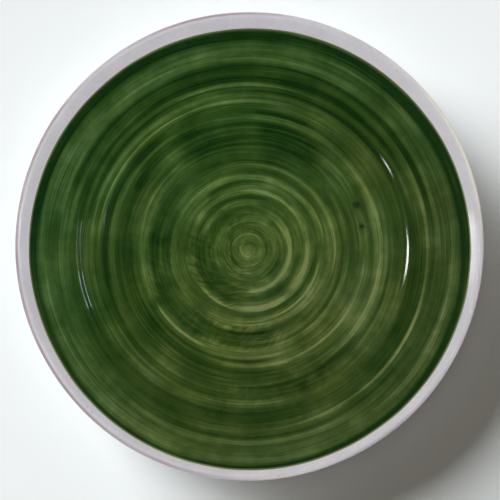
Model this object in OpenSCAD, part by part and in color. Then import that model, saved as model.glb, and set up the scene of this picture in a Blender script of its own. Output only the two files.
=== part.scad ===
// Round dinner plate: a fired clay body with a turned foot ring, a coat of white glaze
// over its face, lip and back, and green glaze brushed in rings over the face.
// The origin is on the table under the plate's centre, and +Z is up through the face.

/* [Plate] */
// Diameter of the finished plate, across its glazed lip
plate_d = 270; // [220:1:340]
// Height of the finished lip above the table
plate_h = 30; // [24:0.5:36]
// Thickness of the clay in the wall and the flange
wall_t = 4.2; // [3.4:0.1:6]

/* [Well] */
// Steepest slope of the wall that rises round the well, in degrees
wall_slope = 40; // [34:1:48]
// Length of the straight stretch of wall between the cove and the shoulder
wall_len = 0.5; // [0.2:0.1:6]
// Radius of the cove between the floor and the wall
cove_r = 20; // [10:0.5:26]
// Radius of the shoulder between the wall and the flange
shoulder_r = 16; // [8:0.5:20]

/* [Flange] */
// Width of the flange, from the centre of the shoulder's curve to the edge of the lip
flange_w = 23.3; // [22:0.1:40]
// Radius of the shallow hollow along the flange
hollow_r = 600; // [300:10:2000]
// Width of the white band between the green glaze and the edge of the lip
white_band_w = 7.7; // [6:0.1:16]

/* [Foot ring] */
// Distance from the edge of the well's floor in to the foot ring's outer side
foot_inset = 3; // [3:0.5:20]
// Width of the foot ring
foot_w = 5; // [4:0.5:9]
// Height of the foot ring's outer side
foot_h = 3.5; // [3:0.1:6]
// Depth of the recess inside the foot ring
recess_depth = 2.5; // [2.2:0.1:3]
// Fillet where the foot ring's outer side meets the underside
foot_fillet = 1.5; // [1:0.1:2]
// Fillet round the inside of the recess
recess_fillet = 1; // [0.8:0.1:1.2]
// Rounding on the two lower edges of the foot ring
foot_edge_r = 0.8; // [0.4:0.1:1]

/* [Glaze] */
// Thickness of the white glaze
white_t = 0.45; // [0.3:0.05:0.7]
// Thickness of the green glaze on top of the white
green_t = 0.3; // [0.2:0.05:0.5]

/* [Hidden] */

// Heights of the clay: the well's floor, and the middle of the lip's round nose
floor_z = foot_h + wall_t;
lip_r = wall_t / 2;
lip_c = [plate_d / 2 - white_t - lip_r, plate_h - white_t - lip_r];

// The shoulder's centre stands in from the lip, and the well is worked in from there: the
// cove and the wall climb outward from the edge of the flat floor to the shoulder.
climb = [(cove_r + shoulder_r) * sin(wall_slope) + wall_len * cos(wall_slope),
         cove_r - (cove_r + shoulder_r) * cos(wall_slope) + wall_len * sin(wall_slope)];
shoulder_c = [plate_d / 2 - flange_w, floor_z + climb.y];
floor_r = shoulder_c.x - climb.x;
cove_c = [floor_r, floor_z + cove_r];

// Centre of the flange's hollow: an arc that leaves the shoulder and enters the lip smoothly.
// It is the far corner of a triangle on the shoulder's centre and the lip's.
span = lip_c - shoulder_c;
shoulder_side = hollow_r + shoulder_r;
lip_side = hollow_r + lip_r;
corner_a = acos((span * span + pow(shoulder_side, 2) - pow(lip_side, 2))
                / (2 * norm(span) * shoulder_side));
shoulder_a = atan2(span.y, span.x) + corner_a;
hollow_c = shoulder_c + shoulder_side * [cos(shoulder_a), sin(shoulder_a)];
lip_a = atan2(lip_c.y - hollow_c.y, lip_c.x - hollow_c.x);

// Where the green glaze stops on the flange, as an angle about the hollow's centre
green_edge_r = plate_d / 2 - white_band_w;
green_edge_a = -acos((green_edge_r - hollow_c.x) / (hollow_r - white_t));

// Foot ring
foot_out_r = floor_r - foot_inset;
foot_in_r = foot_out_r - foot_w;

// A curve is [centre, radius in the clay, first angle, last angle, side]. Side is 1 where
// glaze makes the radius larger, on an outward curve, and -1 on a hollow one.
cove = [cove_c, cove_r, -90, wall_slope - 90, -1];
shoulder = [shoulder_c, shoulder_r, wall_slope + 90, shoulder_a, 1];
green_flange = [hollow_c, hollow_r, shoulder_a - 180, green_edge_a, -1];
white_flange = [hollow_c, hollow_r, green_edge_a, lip_a, -1];
lip = [lip_c, lip_r, lip_a + 180, lip_a, 1];
flange_back = [hollow_c, hollow_r + wall_t, lip_a, shoulder_a - 180, 1];
shoulder_back = [shoulder_c, shoulder_r - wall_t, shoulder_a, wall_slope + 90, -1];
cove_back = [cove_c, cove_r + wall_t, wall_slope - 90, -90, 1];
foot_root = [[foot_out_r + foot_fillet, foot_h - foot_fillet], foot_fillet, 90, 180, -1];
foot_outer_edge = [[foot_out_r - foot_edge_r, foot_edge_r], foot_edge_r, 0, -90, 1];
foot_inner_edge = [[foot_in_r + foot_edge_r, foot_edge_r], foot_edge_r, -90, -180, 1];
recess_root = [[foot_in_r - recess_fillet, recess_depth - recess_fillet], recess_fillet, 0, 90, -1];

// The face of the plate out to the end of the green, and on over the lip to the foot ring
green_face = [cove, shoulder, green_flange];
rim_and_back = [white_flange, lip, flange_back, shoulder_back, cove_back, foot_root];

// Smoothness: the most degrees and the most length of a step along a curve, and the
// number of sides in a turn
step_a = 6;
step_len = 2.5;
turn_sides = 180;

// Points along one curve, with glaze of thickness t over the clay. The number of points
// doesn't depend on t, so coats that touch share every point.
function curve_points(k, t) =
  let (turn = k[3] - k[2],
       steps = ceil(max(abs(turn) / step_a, abs(turn) * PI / 180 * k[1] / step_len)))
  [for (i = [0 : steps])
    let (a = k[2] + turn * i / steps)
    k[0] + (k[1] + k[4] * t) * [cos(a), sin(a)]];

function path_points(curves, t) = [for (k = curves) each curve_points(k, t)];

function backwards(points) = [for (i = [len(points) - 1 : -1 : 0]) points[i]];

// Solid between two paths, closed on the axis or across the ends of the paths
module turned(near_path, far_path) {
  rotate_extrude($fn = turn_sides) polygon(concat(near_path, backwards(far_path)));
}

// Fired clay: the floor, wall, flange and foot ring are thrown and turned as one piece.
// The foot ring stays bare on its sides and where it stands on the table.
module clay_body() {
  color([0.80, 0.62, 0.52])
    turned(
      concat([[0, floor_z]], path_points(green_face, 0), path_points(rim_and_back, 0)),
      concat([[0, recess_depth]],
             backwards(path_points([foot_outer_edge, foot_inner_edge, recess_root], 0))));
}

// White glaze: one coat over the face, round the lip and down the back to the foot ring.
module white_glaze() {
  face_and_back = concat(green_face, rim_and_back);
  color([0.80, 0.79, 0.82])
    turned(
      concat([[0, floor_z + white_t]], path_points(face_and_back, white_t)),
      concat([[0, floor_z]], path_points(face_and_back, 0)));
}

// White glaze in the recess, cut off from the rest by the bare foot ring.
module foot_recess_glaze() {
  color([0.82, 0.80, 0.80])
    turned(
      concat([[0, recess_depth - white_t]], backwards(path_points([recess_root], white_t))),
      concat([[0, recess_depth]], backwards(path_points([recess_root], 0))));
}

// Green glaze: brushed over the white from the centre out to the edge of the white band.
module green_glaze() {
  top_t = white_t + green_t;
  color([0.16, 0.32, 0.10])
    turned(
      concat([[0, floor_z + top_t]], path_points(green_face, top_t)),
      concat([[0, floor_z + white_t]], path_points(green_face, white_t)));
}

clay_body();
white_glaze();
foot_recess_glaze();
green_glaze();
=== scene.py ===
"""A hand-thrown dinner plate of buff clay under white glaze, with green glaze brushed in rings
over its face. Sizes are in metres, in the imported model's frame."""
import math

import bmesh
import bpy
import numpy as np
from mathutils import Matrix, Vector, noise


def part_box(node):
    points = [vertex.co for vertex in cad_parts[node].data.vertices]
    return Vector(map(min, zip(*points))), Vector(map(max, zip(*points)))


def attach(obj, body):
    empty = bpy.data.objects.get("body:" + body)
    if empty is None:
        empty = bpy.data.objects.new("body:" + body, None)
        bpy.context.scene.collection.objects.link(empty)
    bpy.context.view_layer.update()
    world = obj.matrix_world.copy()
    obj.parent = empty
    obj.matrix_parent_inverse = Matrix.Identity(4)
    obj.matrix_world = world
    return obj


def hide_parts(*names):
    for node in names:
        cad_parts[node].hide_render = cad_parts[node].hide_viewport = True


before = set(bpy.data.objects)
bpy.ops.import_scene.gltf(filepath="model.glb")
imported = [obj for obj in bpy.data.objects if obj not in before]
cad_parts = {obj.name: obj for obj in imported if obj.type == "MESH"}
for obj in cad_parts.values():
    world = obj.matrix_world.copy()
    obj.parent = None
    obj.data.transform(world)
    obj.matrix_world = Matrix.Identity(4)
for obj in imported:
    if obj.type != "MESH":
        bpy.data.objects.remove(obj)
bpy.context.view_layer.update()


# ---- Camera ---------------------------------------------------------------------------------
# The plate is looked at from almost straight above, from a little in front of it.

MM = 0.001
plate_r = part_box("white_glaze")[1].x
plate_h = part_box("white_glaze")[1].z
CAMERA_TILT = math.radians(3)
CAMERA_LENS = 75
CAMERA_DISTANCE = 4.41 * plate_r
CAMERA_AIM = Vector((0.3 * MM, -3.9 * MM, plate_h))
CAMERA_WAY = Vector((0, -math.sin(CAMERA_TILT), math.cos(CAMERA_TILT)))

camera = bpy.data.objects.new("camera", bpy.data.cameras.new("camera"))
camera.data.lens = CAMERA_LENS
camera.location = CAMERA_AIM + CAMERA_DISTANCE * CAMERA_WAY
camera.rotation_euler = (CAMERA_TILT, 0, 0)
bpy.context.scene.collection.objects.link(camera)
bpy.context.scene.camera = camera
bpy.context.scene.view_settings.view_transform = "Standard"


# ---- Clay body ------------------------------------------------------------------------------
# The plate is thrown in one lump from buff clay, and its foot ring is turned once the clay is
# leather-hard. Only the foot ring stays bare; glaze covers the rest.

WALL_T = 4.2 * MM
WALL_SLOPE = 40
WALL_LEN = 0.5 * MM
COVE_R = 20 * MM
SHOULDER_R = 16 * MM
FLANGE_W = 23.3 * MM
HOLLOW_R = 600 * MM
WHITE_T = 0.45 * MM
FOOT_INSET = 3 * MM
FOOT_H = 3.5 * MM
FOOT_FILLET = 1.5 * MM
FOOT_EDGE_R = 0.8 * MM
RECESS_FILLET = 1 * MM

floor_z = FOOT_H + WALL_T
lip_r = WALL_T / 2
lip_c = Vector((plate_r - WHITE_T - lip_r, plate_h - WHITE_T - lip_r))
slope = math.radians(WALL_SLOPE)
shoulder_c = Vector((
    plate_r - FLANGE_W,
    floor_z + COVE_R - (COVE_R + SHOULDER_R) * math.cos(slope) + WALL_LEN * math.sin(slope)))
floor_r = shoulder_c.x - (COVE_R + SHOULDER_R) * math.sin(slope) - WALL_LEN * math.cos(slope)
foot_in_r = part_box("foot_recess_glaze")[1].x
foot_out_r = floor_r - FOOT_INSET
recess_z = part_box("foot_recess_glaze")[1].z

# The flange is a shallow hollow that leaves the shoulder and enters the lip smoothly
span = lip_c - shoulder_c
shoulder_side = HOLLOW_R + SHOULDER_R
lip_side = HOLLOW_R + lip_r
corner = math.acos((span.length_squared + shoulder_side ** 2 - lip_side ** 2)
                   / (2 * span.length * shoulder_side))
shoulder_a = math.atan2(span.y, span.x) + corner
hollow_c = shoulder_c + shoulder_side * Vector((math.cos(shoulder_a), math.sin(shoulder_a)))
lip_a = math.degrees(math.atan2(lip_c.y - hollow_c.y, lip_c.x - hollow_c.x))
shoulder_a = math.degrees(shoulder_a)

# Arcs of the outline: centre, radius in the clay, first and last angle, and 1 where glaze
# makes the radius larger or -1 where it makes it smaller
cove = (Vector((floor_r, floor_z + COVE_R)), COVE_R, -90, WALL_SLOPE - 90, -1)
shoulder = (shoulder_c, SHOULDER_R, WALL_SLOPE + 90, shoulder_a, 1)
flange = (hollow_c, HOLLOW_R, shoulder_a - 180, lip_a, -1)
lip = (lip_c, lip_r, lip_a + 180, lip_a, 1)
flange_back = (hollow_c, HOLLOW_R + WALL_T, lip_a, shoulder_a - 180, 1)
shoulder_back = (shoulder_c, SHOULDER_R - WALL_T, shoulder_a, WALL_SLOPE + 90, -1)
cove_back = (Vector((floor_r, floor_z + COVE_R)), COVE_R + WALL_T, WALL_SLOPE - 90, -90, 1)
foot_root = (Vector((foot_out_r + FOOT_FILLET, FOOT_H - FOOT_FILLET)), FOOT_FILLET, 90, 180, -1)
# The foot ring and the recess run outward, from the axis to the ring's outer side
recess_corner = (Vector((foot_in_r - RECESS_FILLET, recess_z - RECESS_FILLET)),
                 RECESS_FILLET, 90, 0, -1)
foot_inner_edge = (Vector((foot_in_r + FOOT_EDGE_R, FOOT_EDGE_R)), FOOT_EDGE_R, -180, -90, 1)
foot_outer_edge = (Vector((foot_out_r - FOOT_EDGE_R, FOOT_EDGE_R)), FOOT_EDGE_R, -90, 0, 1)

BEND_STEP = 9
SAME_PLACE = 1e-7


def bend(arc, glaze, spacing):
    """Points along one arc, with that much glaze over the clay. Their number doesn't depend
    on the glaze, so coats that touch share every point."""
    centre, radius, first, last, side = arc
    turn = abs(last - first)
    steps = math.ceil(max(turn / BEND_STEP, math.radians(turn) * radius / spacing))
    turns = [math.radians(first + (last - first) * i / steps) for i in range(steps + 1)]
    return [centre + (radius + side * glaze) * Vector((math.cos(a), math.sin(a))) for a in turns]


def outline(stretches, glaze=0.0, spacing=3 * MM):
    """A path through arcs and single points, with straight runs between them."""
    path = []
    for stretch in stretches:
        points = bend(stretch, glaze, spacing) if isinstance(stretch, tuple) else [stretch]
        if path:
            start = path[-1]
            gap = (points[0] - start).length
            if gap < SAME_PLACE:
                points = points[1:]
            steps = math.ceil(gap / spacing)
            path += [start.lerp(points[0], i / steps) for i in range(1, steps)]
        path += points
    return path


TURN_STEPS = 320


def turned(name, outer, inner):
    """A closed solid of revolution between two paths that leave the axis or share both ends.
    The "skin" attribute is 1 on the outer path, which shows, and 0 on the inner one."""
    bm = bmesh.new()
    skin = bm.verts.layers.float.new("skin")
    corners = []
    for path, shows in ((outer, 1), (inner[::-1], 0)):
        for point in path:
            place = Vector((point.x, 0, point.y))
            if corners and (corners[-1].co - place).length < SAME_PLACE:
                continue
            corners.append(bm.verts.new(place))
            corners[-1][skin] = shows
    edges = [bm.edges.new(pair) for pair in zip(corners, corners[1:])]
    if outer[0].x > SAME_PLACE:
        edges.append(bm.edges.new((corners[-1], corners[0])))
    bmesh.ops.spin(bm, geom=corners + edges, cent=(0, 0, 0), axis=(0, 0, 1), angle=math.tau,
                   steps=TURN_STEPS, use_merge=True)
    bmesh.ops.remove_doubles(bm, verts=bm.verts, dist=SAME_PLACE)
    bmesh.ops.recalc_face_normals(bm, faces=bm.faces)
    mesh = bpy.data.meshes.new(name)
    bm.to_mesh(mesh)
    bm.free()
    mesh.shade_smooth()
    piece = bpy.data.objects.new(name, mesh)
    bpy.context.scene.collection.objects.link(piece)
    return piece


def points_of(piece):
    """Where the piece's vertices are, one row each."""
    places = np.empty(len(piece.data.vertices) * 3)
    piece.data.vertices.foreach_get("co", places)
    return places.reshape(-1, 3)


def normals_of(piece):
    """Which way the piece's surface faces at each vertex, one row each."""
    normals = np.empty(len(piece.data.vertices) * 3)
    piece.data.vertices.foreach_get("normal", normals)
    return normals.reshape(-1, 3)


def attribute_of(piece, name):
    """One number for each vertex, by the attribute's name."""
    numbers = np.empty(len(piece.data.vertices))
    piece.data.attributes[name].data.foreach_get("value", numbers)
    return numbers


def keep_attribute(piece, name, numbers):
    """Stores one number for each vertex, for a material to read."""
    piece.data.attributes.new(name, "FLOAT", "POINT").data.foreach_set("value", numbers)


def polar(places, centre=(0.0, 0.0)):
    """Distance from an upright axis, and angle round it in degrees."""
    x, y = places[:, 0] - centre[0], places[:, 1] - centre[1]
    return np.hypot(x, y), np.degrees(np.arctan2(y, x))


def waves(angle, lobes):
    """A ripple round the plate from 0 to 1. Each lobe is how many times round, and its phase,
    and each counts for less than the one before."""
    total = sum(np.cos(np.radians(count * angle + phase)) / (i + 1)
                for i, (count, phase) in enumerate(lobes))
    most = sum(1 / (i + 1) for i in range(len(lobes)))
    return 0.5 + 0.5 * total / most


RIM_SWAY = 0.8 * MM
RIM_SWAY_LOBES = ((2, 40), (3, 110), (5, 20), (9, 250))
RIM_DIP = 0.5 * MM
RIM_DIP_LOBES = ((2, 200), (3, 30), (1, 80))
RIM_SHARE_POWER = 1.5


def set_by_hand(piece, places):
    """Puts the vertices at their places, with the rim a little out of round and out of level,
    as throwing and firing leave it. Every coat takes the same moves, so they stay together."""
    radius, angle = polar(places)
    share = np.clip((radius - foot_out_r) / (plate_r - foot_out_r), 0, 1) ** RIM_SHARE_POWER
    shrink = 1 - RIM_SWAY / plate_r * share * waves(angle, RIM_SWAY_LOBES)
    moved = places.copy()
    moved[:, :2] *= shrink[:, None]
    moved[:, 2] -= RIM_DIP * share * waves(angle, RIM_DIP_LOBES)
    piece.data.vertices.foreach_set("co", moved.ravel())
    piece.data.update()


RING_CLIMB = 0.4
RING_DRIFT = 3
RING_DRIFT_LENGTH = 2.3


def rings(piece, places, spacing, depth, seed):
    """Ridges that fingers or a turning tool leave, along each vertex's normal. They spiral
    out by one spacing a turn, and drift a little closer or wider."""
    radius, angle = polar(places)
    along = radius + RING_CLIMB * places[:, 2] + spacing * angle / 360
    drift = [noise.noise(Vector((a / spacing / RING_DRIFT_LENGTH, seed, 0))) for a in along]
    ridge = np.sin(math.tau * along / spacing + RING_DRIFT * np.array(drift))
    return (depth * ridge)[:, None] * normals_of(piece)


def new_material(name, roughness, ior=1.5):
    """A material, its node tree and its shader."""
    material = bpy.data.materials.new(name)
    material.use_nodes = True
    shader = material.node_tree.nodes["Principled BSDF"]
    shader.inputs["Roughness"].default_value = roughness
    shader.inputs["IOR"].default_value = ior
    return material, material.node_tree, shader


def add(tree, kind, inputs, **settings):
    """A node of that kind, with its inputs given as values or as sockets to wire in."""
    node = tree.nodes.new("ShaderNode" + kind)
    for key, value in settings.items():
        setattr(node, key, value)
    for key, value in inputs.items():
        if isinstance(value, bpy.types.NodeSocket):
            tree.links.new(value, node.inputs[key])
        else:
            node.inputs[key].default_value = value
    return node


def object_place(tree):
    """The place of each point of the surface, in the piece's own frame."""
    return add(tree, "TexCoord", {}).outputs["Object"]


def blotches(tree, scale, detail=3.0, vector=None, roughness=0.55):
    """Noise from 0 to 1 in the piece's own frame, that many blotches to the metre."""
    place = vector or object_place(tree)
    return add(tree, "TexNoise", {"Vector": place, "Scale": scale, "Detail": detail,
                                  "Roughness": roughness}).outputs["Fac"]


def ramp(tree, value, *stops):
    """Colours by value. Each stop is a place from 0 to 1 and a colour."""
    node = add(tree, "ValToRGB", {"Fac": value})
    marks = node.color_ramp.elements
    while len(marks) < len(stops):
        marks.new(1)
    for mark, (place, colour) in zip(marks, stops):
        mark.position = place
        mark.color = (*colour, 1)
    return node.outputs["Color"]


def mixed(tree, share, first, second, kind="MIX"):
    """Two colours mixed by share, which is 0 for the first alone."""
    return add(tree, "Mix", {0: share, 6: first, 7: second},
               data_type="RGBA", blend_type=kind).outputs[2]


def bumped(tree, shader, height, depth):
    """Makes the shader's surface rise and fall by depth as height goes from 0 to 1."""
    bump = add(tree, "Bump", {"Height": height, "Distance": depth, "Strength": 1.0})
    tree.links.new(bump.outputs["Normal"], shader.inputs["Normal"])


CLAY_DARK = (0.50, 0.33, 0.22)
CLAY_LIGHT = (0.62, 0.45, 0.33)
CLAY_GRIT = (0.25, 0.15, 0.09)
NO_STAIN = (1, 1, 1)


def clay_material():
    """Buff clay, matt and a little rosy, clouded, with fine grit."""
    material, tree, shader = new_material("bare_clay", 0.85)
    grit = blotches(tree, 2600, 4)
    cloud = blotches(tree, 60, 3)
    body = ramp(tree, cloud, (0.3, CLAY_DARK), (0.7, CLAY_LIGHT))
    speck = ramp(tree, grit, (0.36, CLAY_GRIT), (0.44, NO_STAIN))
    tree.links.new(mixed(tree, 0.8, body, speck, "MULTIPLY"), shader.inputs["Base Color"])
    bumped(tree, shader, grit, 0.12 * MM)
    return material


TOOL_LINE_SPACING = 1.1 * MM
TOOL_LINE_DEPTH = 0.03 * MM
STANDING_H = 0.2 * MM

face = [Vector((0, floor_z)), cove, shoulder, flange]
back = [lip, flange_back, shoulder_back, cove_back, foot_root]
underside = [Vector((0, recess_z)), recess_corner, foot_inner_edge, foot_outer_edge]
clay = turned("clay_body", outline(underside, spacing=1.2 * MM),
              outline(face + back, spacing=4 * MM))
clay_places = points_of(clay)
# The turning tool's lines stop short of the face that the plate stands on
lined = attribute_of(clay, "skin") * (clay_places[:, 2] > STANDING_H)
clay_places += lined[:, None] * rings(clay, clay_places, TOOL_LINE_SPACING, TOOL_LINE_DEPTH, 5)
set_by_hand(clay, clay_places)
clay.data.materials.append(clay_material())
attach(clay, "root")
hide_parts("clay_body")


# ---- White glaze ----------------------------------------------------------------------------
# Opaque white tin glaze, poured over the face, round the lip and down the back, and wiped away at
# the foot ring. It runs thin over the lip, where the clay warms it, and on some sides of the lip a
# cream highlight is painted on.

WHITE_BODY = (0.665, 0.645, 0.68)
WHITE_SHADE = (0.585, 0.565, 0.60)
LIP_ROSY = (0.40, 0.31, 0.335)
# Cream of the lip is a painted highlight, light catching the lip where the glaze is thin
LIP_CREAM_SHEEN = (0.88, 0.82, 0.70)
PINHOLE_STAIN = (0.35, 0.28, 0.24)


def maths(tree, kind, *values):
    """One maths node, such as ADD or MULTIPLY."""
    return add(tree, "Math", dict(enumerate(values)), operation=kind).outputs[0]


def held(tree, value):
    """A number kept from 0 to 1."""
    return maths(tree, "MINIMUM", maths(tree, "MAXIMUM", value, 0.0), 1.0)


def white_material(name, body, shade):
    """Glossy white glaze with soft clouds, a fine ripple and a few pinholes. The "thin" attribute
    is above 0 where the lip shows rosy clay through thin glaze, and below 0 where a cream colour is
    painted on as a highlight, light catching the lip."""
    material, tree, shader = new_material(name, 0.16, 1.52)
    cloud = blotches(tree, 45, 4)
    fine = blotches(tree, 420, 3)
    tone = maths(tree, "MULTIPLY_ADD", fine, 0.35, maths(tree, "MULTIPLY", cloud, 0.7))
    white = ramp(tree, tone, (0.35, shade), (0.7, body))
    thin = add(tree, "Attribute", {}, attribute_name="thin").outputs["Fac"]
    uneven = maths(tree, "MULTIPLY_ADD", cloud, 1.2, 0.3)
    rosy = held(tree, maths(tree, "MULTIPLY", thin, uneven))
    # Below 0 the lip gets the painted cream highlight
    cream_sheen = held(tree, maths(tree, "MULTIPLY", thin, -1.0))
    worn_and_sheen = mixed(tree, rosy, white, (*LIP_ROSY, 1))
    worn_and_sheen = mixed(tree, cream_sheen, worn_and_sheen, (*LIP_CREAM_SHEEN, 1))
    nearest = add(tree, "TexVoronoi", {"Vector": object_place(tree), "Scale": 95.0})
    pinhole = ramp(tree, nearest.outputs["Distance"], (0.028, PINHOLE_STAIN), (0.045, NO_STAIN))
    tree.links.new(mixed(tree, 0.8, worn_and_sheen, pinhole, "MULTIPLY"), shader.inputs["Base Color"])
    tree.links.new(maths(tree, "MULTIPLY_ADD", cloud, 0.08, 0.06), shader.inputs["Roughness"])
    bumped(tree, shader, blotches(tree, 160, 2), 0.05 * MM)
    return material


def rounded_end(clay_points, glaze_points):
    """The skin of a coat where it ends: it curves in from full thickness to the clay."""
    skin = []
    for i, (clay_point, glaze_point) in enumerate(zip(clay_points, glaze_points)):
        left = 1 - i / (len(clay_points) - 1)
        skin.append(clay_point.lerp(glaze_point, math.sqrt(1 - (1 - left) ** 2)))
    return skin


WELL_SPACING = 4 * MM
RIM_SPACING = 1.3 * MM
WIPED_SPACING = 0.3 * MM

root_clay = bend(foot_root, 0, WIPED_SPACING)
root_glaze = bend(foot_root, WHITE_T, WIPED_SPACING)
white_top = outline([Vector((0, floor_z + WHITE_T)), cove, shoulder], WHITE_T, WELL_SPACING)
white_top += outline([flange, *back[:-1]], WHITE_T, RIM_SPACING)[1:]
white_top += rounded_end(root_clay, root_glaze)
white_under = outline([face[0], cove, shoulder], 0, WELL_SPACING)
white_under += outline([flange, *back[:-1]], 0, WELL_SPACING)[1:] + root_clay
white = turned("white_glaze", white_top, white_under)
white_places = points_of(white)
white_r, white_angle = polar(white_places)

# Throwing rings show through the glaze on the back: outside the foot ring, and under a slanting
# line that keeps them off the lip and the face
THROWING_SPACING = 5.2 * MM
THROWING_DEPTH = 0.09 * MM
FOOT_CLEAR = 3 * MM
FLANGE_CLEAR = 1.5 * MM
FLANGE_RISE = 0.45
flange_line = lip_c.y + (white_r - lip_c.x) * FLANGE_RISE - FLANGE_CLEAR
thrown = attribute_of(white, "skin") * (white_r > foot_out_r + FOOT_CLEAR)
thrown *= white_places[:, 2] < flange_line
white_places += thrown[:, None] * rings(white, white_places, THROWING_SPACING, THROWING_DEPTH, 2)

# The glaze is thin round the upper side of the lip's nose. It shows rosy on some sides of the
# plate, and on others a cream colour is painted on as a highlight, light catching the lip
NOSE_MIDDLE = 56
NOSE_HALF = 50
NOSE_FULL = 1.25
LIP_FADE = 0.6 * MM
ROSY_LOBES = ((1, 175), (3, 90), (7, 20))
ROSY_CONTRAST = 3.2
ROSY_BALANCE = 1.3
nose = np.degrees(np.arctan2(white_places[:, 2] - lip_c.y, white_r - lip_c.x))
on_lip = np.clip((white_r - lip_c.x) / LIP_FADE, 0, 1)
thin_lip = on_lip * np.clip(NOSE_FULL - np.abs(nose - NOSE_MIDDLE) / NOSE_HALF, 0, 1)
# Sides below 0 get the painted cream highlight, sides above 0 the rosy thin glaze
rosy_and_sheen_side = np.clip(ROSY_CONTRAST * waves(white_angle, ROSY_LOBES) - ROSY_BALANCE, -1, 1)
keep_attribute(white, "thin", thin_lip * rosy_and_sheen_side)
set_by_hand(white, white_places)
white.data.materials.append(white_material("white_glaze", WHITE_BODY, WHITE_SHADE))
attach(white, "root")
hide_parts("white_glaze")


# ---- Glaze in the foot recess ---------------------------------------------------------------
# The same white glaze, poured into the recess and cut off from the rest by the bare foot ring.
# It fills the corner and ends in a rounded edge on the side of the ring.

RECESS_BODY = (0.66, 0.64, 0.66)
RECESS_SHADE = (0.57, 0.55, 0.57)
CORNER_SPACING = 0.25 * MM
TURNING_SPACING = 4.3 * MM
TURNING_DEPTH = 0.05 * MM
CORNER_CLEAR = 2 * MM

corner_clay = bend(recess_corner, 0, CORNER_SPACING)
corner_glaze = bend(recess_corner, WHITE_T, CORNER_SPACING)
recess_top = outline([Vector((0, recess_z - WHITE_T)), corner_glaze[0]], spacing=2 * MM)
recess_top += rounded_end(corner_clay, corner_glaze)[1:]
recess_under = outline([Vector((0, recess_z)), corner_clay[0]], spacing=6 * MM) + corner_clay[1:]
recess = turned("foot_recess_glaze", recess_top, recess_under)
recess_places = points_of(recess)
recess_floor = attribute_of(recess, "skin")
recess_floor = recess_floor * (polar(recess_places)[0] < foot_in_r - CORNER_CLEAR)
recess_places += recess_floor[:, None] * rings(recess, recess_places, TURNING_SPACING,
                                               TURNING_DEPTH, 8)
keep_attribute(recess, "thin", np.zeros(len(recess_places)))
set_by_hand(recess, recess_places)
recess.data.materials.append(white_material("recess_glaze", RECESS_BODY, RECESS_SHADE))
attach(recess, "root")
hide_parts("foot_recess_glaze")


# ---- Green glaze ----------------------------------------------------------------------------
# Copper green glaze, laid on with a loaded brush while the plate turns. Each pass leaves rings
# where the coat is thin and yellow-green, or thick and dark, and it pools at the outer edge.

GREEN_T = 0.3 * MM
BRUSH_CENTRE = (-0.7 * MM, -2.5 * MM)
green_edge_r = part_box("green_glaze")[1].x

# Light strokes, where the brush dragged the glaze thin: inner and outer radius in millimetres,
# where each starts, how far round it goes in degrees, and how much glaze it takes away
THIN_STROKES = [
    (0, 9, -180, 360, 0.12), (9, 10.5, 30, 150, 0.30), (13.5, 14.5, 150, 140, 0.16),
    (16.5, 19.5, 120, 150, 0.14), (23.5, 25.5, -95, 125, 0.50), (21.5, 26, 0, 70, 0.14),
    (26.5, 29.5, 70, 95, 0.18), (34, 36.5, -150, 105, 0.40), (33.5, 36, -50, 220, 0.24),
    (42, 43, -110, 110, 0.28), (44, 45, -110, 110, 0.26), (42, 46, 0, 145, 0.20),
    (57, 60, -60, 100, 0.20), (61.5, 63, -155, 45, 0.55), (68, 69, -75, 75, 0.36),
    (64, 65, 125, 40, 0.30), (68, 70, -110, 45, 0.24), (50, 51, -30, 130, 0.20),
    (77, 80, -60, 60, 0.22), (77, 79.5, 0, 120, 0.22), (88, 90, 70, 110, 0.32),
    (89, 91, -160, 90, 0.22), (84, 85.5, -150, 60, 0.26), (104.5, 106, -85, 115, 0.34),
    (102.5, 104, 120, 40, 0.26), (97.5, 99, 60, 60, 0.18), (110, 119, 60, 110, 0.12),
    (111, 113, -130, 80, 0.20), (117, 119.5, -50, 40, 0.22), (114, 119, -180, 60, 0.12),
    (116.5, 121, -180, 360, 0.08), (30, 46, -180, 360, 0.07),
]
# Dark strokes, where it left the glaze thick: as above, with how much glaze it adds
THICK_STROKES = [
    (10.5, 13, -170, 130, 0.18), (18.5, 22, -60, 120, 0.24), (27.5, 32, -100, 100, 0.16),
    (37.5, 40.5, -110, 110, 0.26), (38, 41, 70, 60, 0.40), (30.5, 33, 60, 110, 0.20),
    (48.5, 57.5, -130, 60, 0.22), (50.5, 57.5, -60, 60, 0.14), (22.5, 34, 165, 95, 0.16),
    (46, 59.5, 165, 45, 0.20), (53, 55, 20, 100, 0.20), (61.5, 77, 50, 80, 0.26),
    (64, 75, 50, 40, 0.20), (69, 76, 130, 170, 0.18), (65.5, 67, -160, 90, 0.22),
    (82, 87, 120, 85, 0.30), (81, 84, 60, 30, 0.24), (80.5, 83, -100, 70, 0.24),
    (94, 97.5, 20, 160, 0.34), (100, 104, 20, 160, 0.22), (96, 104, -50, 50, 0.20),
    (94, 104, -170, 110, 0.10), (106.5, 110, 0, 180, 0.28), (107.5, 110, -120, 90, 0.20),
    (83.5, 89.5, -63, 6, 0.45), (83.5, 89.5, -71, 6, 0.40), (83.5, 89, -79, 4, 0.30),
    (58.5, 65.5, 205, 12, 0.25), (72, 78, 140, 14, 0.25), (122.3, 128, -180, 360, 0.46),
    (122.5, 128, 20, 160, 0.20), (75, 88, -180, 360, 0.05),
]
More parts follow.
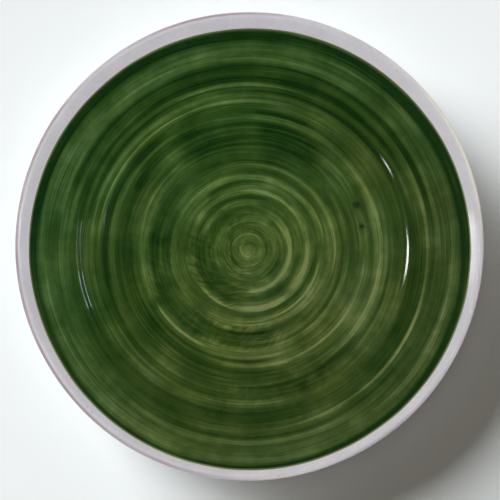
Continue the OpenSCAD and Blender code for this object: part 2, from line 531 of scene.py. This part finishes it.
# Broad washes with soft sides, where the whole coat is thicker, or thinner below zero: inner and
# outer radius in millimetres, start and sweep in degrees, and how much glaze they add
WASHES = [
    (12, 30, 190, 70, -0.11), (30, 45, 225, 115, -0.10), (30, 45, 40, 40, 0.11),
    (45, 60, 195, 60, 0.09), (60, 75, 255, 90, -0.09), (60, 75, -15, 60, 0.08),
    (75, 87, -50, 100, -0.20), (75, 86, 160, 60, 0.11), (75, 86, 75, 35, 0.09),
    (88, 100, 75, 115, -0.13), (88, 100, -25, 60, 0.10), (88, 100, 225, 90, 0.09),
    (100, 111, 110, 90, -0.16), (100, 111, -75, 85, 0.14), (110, 121, -60, 50, 0.10),
    (100, 111, 35, 50, 0.10), (104, 121, 140, 75, -0.09),
]
# Patches where the bristles skipped: as above, with how strongly they speckle
SPECKLED = [
    (45, 60, -140, 80, 1.3), (20, 37, 155, 110, 1.3), (44, 62, 155, 65, 0.9),
    (10, 20, 90, 190, 0.9), (78, 92, -110, 60, 0.8), (64, 74, 165, 40, 0.8),
]
# Dark pits left by bubbles: distance out in millimetres, angle in degrees, and radius in
# millimetres
PITS = [(68, 20.5, 2.3), (67.5, 9.5, 1.8), (97, -96, 0.6), (99, -99, 0.5), (101.5, -104, 0.6)]

# Thickness of the coat at the middle, how much more there is at the painted edge, and how far
# out that is in millimetres
COAT_MIDDLE = 0.48
COAT_OUTWARD = 0.06
COAT_REACH = 127
# Streaks that the bristles leave: a length round the plate in radians, a width in millimetres
# and a seed
BROAD_BRISTLES = (1.5, 6.0, 3.1)
MIDDLE_BRISTLES = (1.1, 2.3, 17.7)
FINE_BRISTLES = (0.8, 1.0, 41.3)
BRISTLES_CLOSE = 6
PATCH_SIZE = 17 * MM
# Soft sides in millimetres and soft ends in degrees, of the strokes (and more for wide or long
# ones), the washes and the speckled patches
STROKE_EDGE = 0.9
STROKE_TAIL = 4
WASH_EDGE = 5
WASH_TAIL = 18
SPECKLE_EDGE = 4
SPECKLE_TAIL = 12
# Size of the speckles in millimetres, outward and round the plate
SPECKLE_OUT = 5
SPECKLE_ROUND = 2.1
# The brush starts at the middle in a tight spiral: its pitch and its reach in millimetres
SWIRL_PITCH = 6
SWIRL_REACH = 15
SWIRL_FADE = 6


def smooth(value):
    """From 0 to 1 with soft ends."""
    value = np.clip(value, 0, 1)
    return value * value * (3 - 2 * value)


def covered_by(stroke, radius, angle, edge, tail):
    """How much a stroke covers: soft over edge on its sides, and over tail degrees at its ends."""
    inner, outer, start, sweep = stroke[:4]
    across = smooth((radius - inner) / edge + 0.5) * smooth((outer - radius) / edge + 0.5)
    if sweep >= 360:
        return across
    ahead = (angle - start) % 360
    return across * smooth(ahead / tail) * smooth((sweep - ahead) / tail)


def bristles(radius, angle, length, width, seed):
    """Streaks that run round the plate, from about -1 to 1, closer together at the middle."""
    x, y = np.cos(np.radians(angle)) / length, np.sin(np.radians(angle)) / length
    near = radius / (radius + BRISTLES_CLOSE)
    return np.array([noise.noise(Vector((a * k, b * k, c / width + seed)))
                     for a, b, k, c in zip(x, y, near, radius)])


def speckles(stroke, radius, angle):
    """Short marks along a patch where the bristles skipped, from about -1 to 1."""
    start = stroke[2]
    ahead = np.radians((angle - start) % 360)
    return np.array([noise.noise(Vector((a * c / SPECKLE_ROUND, c / SPECKLE_OUT, start)))
                     for a, c in zip(ahead, radius)])


def brushed_coat(places):
    """How thick the green is at each place, from 0 for bare to 1 for a pool."""
    radius, angle = polar(places, BRUSH_CENTRE)
    radius /= MM
    broad = bristles(radius, angle, *BROAD_BRISTLES)
    middle = bristles(radius, angle, *MIDDLE_BRISTLES)
    fine = bristles(radius, angle, *FINE_BRISTLES)
    patchy = np.array([noise.noise(p / PATCH_SIZE) for p in map(Vector, places)])
    # The coat is a little thicker outward, and more uneven in the outer half of the well
    coat = COAT_MIDDLE + COAT_OUTWARD * radius / COAT_REACH
    busy = 1 + 0.3 * smooth((radius - 40) / 10) * smooth((92 - radius) / 10)
    coat += busy * (0.20 * broad + 0.17 * middle + 0.17 * patchy)
    coat += 0.08 * fine - 0.30 * np.maximum(0, fine - 0.18) - 0.16 * np.maximum(0, middle - 0.15)
    shifted = radius + 0.9 * broad + 0.35 * middle
    streaked = 1 + 0.9 * fine + 0.5 * middle
    for sign, strokes in ((-1, THIN_STROKES), (1, THICK_STROKES)):
        for stroke in strokes:
            inner, outer, _, sweep, amount = stroke
            edge = STROKE_EDGE + 0.25 * (outer - inner)
            tail = STROKE_TAIL + 0.12 * sweep
            covered = covered_by(stroke, shifted, angle, edge, tail)
            coat += sign * amount * covered * streaked
    for wash in WASHES:
        coat += wash[4] * covered_by(wash, radius, angle, WASH_EDGE, WASH_TAIL)
    swirl = np.cos(math.tau * (radius / SWIRL_PITCH + angle / 360 + 0.4 * middle))
    coat += (0.07 * swirl + 0.30 * fine) * smooth((SWIRL_REACH - radius) / SWIRL_FADE)
    for patch in SPECKLED:
        covered = covered_by(patch, radius, angle, SPECKLE_EDGE, SPECKLE_TAIL)
        coat += 0.18 * patch[4] * speckles(patch, radius, angle) * covered
    return np.clip(coat, 0.02, 1)


def pit_place(out_mm, turn):
    """Where a pit is on the plate, from its distance out and its angle."""
    return (out_mm * MM * math.cos(math.radians(turn)), out_mm * MM * math.sin(math.radians(turn)))


# The green by thickness, from a film over the white to a pool
GREEN_BY_DEPTH = [
    (0.0, (0.200, 0.245, 0.075)), (0.25, (0.096, 0.142, 0.034)), (0.5, (0.044, 0.080, 0.015)),
    (0.75, (0.022, 0.052, 0.008)), (1.0, (0.009, 0.030, 0.005)),
]
# It is bluer at the back left of the plate and yellower at the front right
BACK_LEFT_TINT = (0.79, 1.02, 0.96)
FRONT_RIGHT_TINT = (1.13, 1.0, 1.06)
TINT_WAY = (2.4, -3.6, 0)
WARM_BLOTCH = (1.06, 1.0, 0.92)
COOL_BLOTCH = (0.88, 1.0, 1.10)
RIM_TINT = (0.98, 1.02, 1.24)
RIM_TINT_FROM = 90 * MM
RIM_TINT_TO = 124 * MM
PIT_DARK = (0.010, 0.026, 0.007)
PIT_DOT = (0.22, 0.26, 0.15)
PIT_RAGGED = 3.4 * MM
FRINGE_GREEN = (0.29, 0.32, 0.13)
STREAKS_CLOSE = 4 * MM


def ranged(tree, value, first, last, most=1.0):
    """From 0 to most, as the value goes from first to last."""
    return add(tree, "MapRange", {0: value, 1: first, 2: last, 3: 0.0, 4: most}).outputs[0]


def green_material():
    """Glossy green: the "coat" attribute and fine bristle lines pick the colour, and the
    "fringe" attribute shows where the last thin edge lies over the white."""
    material, tree, shader = new_material("green_glaze", 0.08, 1.52)
    place = object_place(tree)
    level = add(tree, "VectorMath", {0: place, 1: (1, 1, 0)}, operation="MULTIPLY").outputs[0]
    from_middle = add(tree, "VectorMath", {0: level, 1: (*BRUSH_CENTRE, 0)},
                      operation="SUBTRACT").outputs[0]
    out = add(tree, "VectorMath", {0: from_middle}, operation="LENGTH").outputs["Value"]
    shrunk = maths(tree, "DIVIDE", 1.0, maths(tree, "ADD", out, STREAKS_CLOSE))
    way = add(tree, "VectorMath", {0: from_middle, "Scale": shrunk}, operation="SCALE").outputs[0]
    way_x, way_y = add(tree, "SeparateXYZ", {0: way}).outputs[:2]

    def streaks(turns, lines, detail=2.0):
        """Lines round the plate: how often they change in a turn, and how many to the metre."""
        vector = add(tree, "CombineXYZ", {
            0: maths(tree, "MULTIPLY", way_x, turns),
            1: maths(tree, "MULTIPLY", way_y, turns),
            2: maths(tree, "MULTIPLY", out, lines)}).outputs[0]
        return blotches(tree, 1.0, detail, vector, 0.6)

    # The thickness, with bristle lines too fine for the mesh
    coat = add(tree, "Attribute", {}, attribute_name="coat").outputs["Fac"]
    hair = maths(tree, "MULTIPLY_ADD", streaks(2.0, 1150.0), 0.60, -0.30)
    wisp = maths(tree, "MULTIPLY_ADD", streaks(5.0, 520.0, 3.0), 0.24, -0.12)
    cloud = blotches(tree, 150, 5, place)
    patch = maths(tree, "MULTIPLY_ADD", cloud, 0.36, -0.18)
    depth = maths(tree, "ADD", maths(tree, "ADD", coat, hair), maths(tree, "ADD", wisp, patch))
    green = ramp(tree, depth, *GREEN_BY_DEPTH)

    # Pits: a ragged dark stain with a light dot where the bubble broke through
    ragged = maths(tree, "MULTIPLY_ADD", blotches(tree, 900, 3, place), PIT_RAGGED, -PIT_RAGGED / 2)
    for out_mm, turn, wide_mm in PITS:
        wide = wide_mm * MM
        away = add(tree, "VectorMath", {0: level, 1: (*pit_place(out_mm, turn), 0)},
                   operation="DISTANCE").outputs["Value"]
        away = maths(tree, "ADD", ragged, away)
        stain = ranged(tree, away, 1.5 * wide, 0.3 * wide, 0.95)
        green = mixed(tree, stain, green, (*PIT_DARK, 1))
        dot = ranged(tree, away, 0.1 * wide, -0.1 * wide, 0.8)
        green = mixed(tree, dot, green, (*PIT_DOT, 1))

    # Tints: across the plate, in blotches, and toward the rim
    across = add(tree, "VectorMath", {0: place, 1: TINT_WAY}, operation="DOT_PRODUCT")
    across = maths(tree, "ADD", across.outputs["Value"], blotches(tree, 14, 2, place))
    tint = ramp(tree, across, (0.15, BACK_LEFT_TINT), (0.85, FRONT_RIGHT_TINT))
    green = mixed(tree, 1.0, green, tint, "MULTIPLY")
    hue = ramp(tree, blotches(tree, 20, 4, place),
               (0.34, WARM_BLOTCH), (0.5, NO_STAIN), (0.66, COOL_BLOTCH))
    green = mixed(tree, 1.0, green, hue, "MULTIPLY")
    bluer = mixed(tree, 1.0, green, (*RIM_TINT, 1), "MULTIPLY")
    green = mixed(tree, ranged(tree, out, RIM_TINT_FROM, RIM_TINT_TO), green, bluer)
    fringe = add(tree, "Attribute", {}, attribute_name="fringe").outputs["Fac"]
    green = mixed(tree, fringe, green, (*FRINGE_GREEN, 1))
    tree.links.new(green, shader.inputs["Base Color"])
    tree.links.new(maths(tree, "MULTIPLY_ADD", cloud, 0.08, 0.03), shader.inputs["Roughness"])
    bumped(tree, shader, maths(tree, "ADD", hair, wisp), 0.03 * MM)
    return material


def flange_z(radius, glaze):
    """Height of the flange at a radius, with that much glaze on it."""
    return hollow_c.y - np.sqrt((HOLLOW_R - glaze) ** 2 - (radius - hollow_c.x) ** 2)


BRUSHED_SPACING = 0.55 * MM
UNDER_SPACING = 6 * MM
UNDER_GAP = 2 * MM

green_top = outline([Vector((0, floor_z + WHITE_T + GREEN_T)), cove, shoulder, flange],
                    WHITE_T + GREEN_T, BRUSHED_SPACING)
green_top = [p for p in green_top if p.x < green_edge_r - BRUSHED_SPACING / 2]
green_under = outline([Vector((0, floor_z + WHITE_T)), cove, shoulder, flange],
                      WHITE_T, UNDER_SPACING)
green_under = [p for p in green_under if p.x < green_edge_r - UNDER_GAP]
edge_point = Vector((green_edge_r, float(flange_z(green_edge_r, WHITE_T))))
green = turned("green_glaze", green_top + [edge_point], green_under + [edge_point])
green_places = points_of(green)
green_normals = normals_of(green)
green_skin = attribute_of(green, "skin")
green_r, green_angle = polar(green_places)
coat = brushed_coat(green_places)

# The painted edge is a circle a little off the plate's centre, with a slight waver. The glaze
# rounds off toward it and ends in a fringe
EDGE_CENTRE = (0.3 * MM, -1.7 * MM)
EDGE_WAVER = 0.5 * MM
EDGE_LOBES = ((4, 60), (7, 200), (11, 140), (23, 10), (31, 75))
EDGE_TAPER = 5 * MM
FRINGE_W = 0.8 * MM
FRINGE_START = 1.25
FRINGE_LEAST = 0.35
FRINGE_LOBES = ((1, 75), (3, 10), (8, 120))
FLANGE_FROM = 1 * MM
painted = (green_edge_r + EDGE_CENTRE[0] * np.cos(np.radians(green_angle))
           + EDGE_CENTRE[1] * np.sin(np.radians(green_angle))
           + EDGE_WAVER * (waves(green_angle, EDGE_LOBES) - 0.5))
outer_share = smooth((green_r - shoulder_c.x) / (green_edge_r - shoulder_c.x))
moved_r = green_r + (painted - green_edge_r) * outer_share
from_edge = painted - moved_r
fringe = smooth(FRINGE_START - from_edge / FRINGE_W)
fringe *= FRINGE_LEAST + (1 - FRINGE_LEAST) * waves(green_angle, FRINGE_LOBES)
round_off = smooth(from_edge / EDGE_TAPER)
on_flange = green_r > shoulder_c.x + FLANGE_FROM
glaze_here = WHITE_T + green_skin * GREEN_T * round_off
green_places[:, :2] *= (moved_r / np.maximum(green_r, 1e-9))[:, None]
green_places[:, 2] = np.where(on_flange, flange_z(moved_r, glaze_here), green_places[:, 2])

# Thick strokes stand up a little, thin ones lie low, and the pits are sunk
BRUSH_RELIEF = 0.07 * MM
LEVEL_COAT = 0.6
PIT_DEPTH = 0.12 * MM
PIT_REACH = 1.2
relief = green_skin * round_off * BRUSH_RELIEF * (coat - LEVEL_COAT)
for out_mm, turn, wide_mm in PITS:
    off = np.hypot(*(green_places[:, :2] - pit_place(out_mm, turn)).T) / (wide_mm * MM)
    relief -= green_skin * PIT_DEPTH * smooth(PIT_REACH - off)
green_places += relief[:, None] * green_normals
keep_attribute(green, "coat", coat)
keep_attribute(green, "fringe", np.clip(fringe * green_skin, 0, 1))
set_by_hand(green, green_places)
green.data.materials.append(green_material())
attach(green, "root")
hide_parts("green_glaze")


# ---- Table and light ------------------------------------------------------------------------
# A wide pale table top, a soft low light that lays the plate's shadow on it, a soft light
# overhead for the plate, and small windows that shine in its glaze, one in the lip's alone.

TABLE_HALF = 4.0
TABLE_SHADE = (0.865, 0.895, 0.905)
TABLE_PALE = (0.885, 0.915, 0.925)


def table_material():
    """Matt pale table top with a faint unevenness."""
    material, tree, shader = new_material("pale_table", 0.6)
    shader.inputs["Specular IOR Level"].default_value = 0.1
    tone = ramp(tree, blotches(tree, 9, 3), (0.3, TABLE_SHADE), (0.7, TABLE_PALE))
    tree.links.new(tone, shader.inputs["Base Color"])
    return material


table_bm = bmesh.new()
bmesh.ops.create_grid(table_bm, x_segments=8, y_segments=8, size=TABLE_HALF)
table_mesh = bpy.data.meshes.new("table_top")
table_bm.to_mesh(table_mesh)
table_bm.free()
table = bpy.data.objects.new("table_top", table_mesh)
table.data.materials.append(table_material())
bpy.context.scene.collection.objects.link(table)


def lit_group(name, *pieces):
    """A collection of the pieces that a lamp may light."""
    group = bpy.data.collections.new(name)
    for piece in pieces:
        group.objects.link(piece)
    return group


table_only = lit_group("table_only", table)
plate_only = lit_group("plate_only", clay, white, recess, green)
lip_only = lit_group("lip_only", white)


def sky_place(azimuth, zenith, distance):
    """A point above the table: degrees round from +X, and degrees down from straight above."""
    side, up = math.sin(math.radians(zenith)), math.cos(math.radians(zenith))
    turn = math.radians(azimuth)
    return distance * Vector((side * math.cos(turn), side * math.sin(turn), up))


def lamp(name, kind, place, power, colour, lights, shines):
    """A lamp that faces the plate and lights only one group. It shows in the gloss if it
    shines."""
    data = bpy.data.lights.new(name, kind)
    data.energy = power
    data.color = colour
    made = bpy.data.objects.new(name, data)
    made.location = place
    made.rotation_euler = (-place).to_track_quat("-Z", "Y").to_euler()
    made.visible_glossy = shines
    made.light_linking.receiver_collection = lights
    bpy.context.scene.collection.objects.link(made)
    return made


def sky(name, azimuth, zenith, spread, power, colour):
    """A far, wide, soft light for the table. Its spread is in degrees."""
    made = lamp(name, "SUN", sky_place(azimuth, zenith, 1), power, colour, table_only, False)
    made.data.angle = math.radians(spread)


def panel(name, azimuth, zenith, width, height, radiance, colour, shines=True, distance=1.0,
          lights=plate_only):
    """A flat panel of light over the plate. Width and height are in degrees, seen from it."""
    wide = 2 * distance * math.tan(math.radians(width / 2))
    tall = 2 * distance * math.tan(math.radians(height / 2))
    power = radiance * math.pi * wide * tall
    made = lamp(name, "AREA", sky_place(azimuth, zenith, distance), power, colour, lights, shines)
    made.data.shape = "RECTANGLE"
    made.data.size = wide
    made.data.size_y = tall


PLAIN = (1.0, 1.0, 1.0)
DAYLIGHT = (1.0, 1.0, 0.98)
BLUE_SKY = (0.82, 0.91, 1.0)
THROUGH_BLIND = (0.95, 0.97, 1.0)
FILL_AZIMUTHS = (-90, 30, 150)

sky("low_light", 140, 78, 46, 12.0, (0.97, 0.99, 1.0))
sky("table_fill", 0, 0, 60, 0.46, (1.0, 0.92, 0.78))
panel("overhead", 150, 12, 70, 70, 1.86, PLAIN, shines=False)
panel("left_window", 166, 20, 4.6, 5, 26, DAYLIGHT)
panel("left_window_end", 202, 22, 2.2, 4, 14, DAYLIGHT)
panel("left_sill", 173, 41, 11, 1, 16, DAYLIGHT, lights=lip_only)
panel("right_window", 19, 62.3, 11, 3.5, 6, BLUE_SKY)
panel("right_window_blind", 4, 62.3, 15, 3.5, 1.6, THROUGH_BLIND)
for azimuth in FILL_AZIMUTHS:
    panel(f"side_fill_{azimuth % 360}", azimuth, 75, 50, 24, 1.0, PLAIN, shines=False, distance=1.2)

world = bpy.data.worlds.new("pale_room")
bpy.context.scene.world = world
world.use_nodes = True
world.node_tree.nodes["Background"].inputs["Color"].default_value = (0.80, 0.83, 0.84, 1)
world.cycles_visibility.diffuse = False
world.cycles_visibility.glossy = False
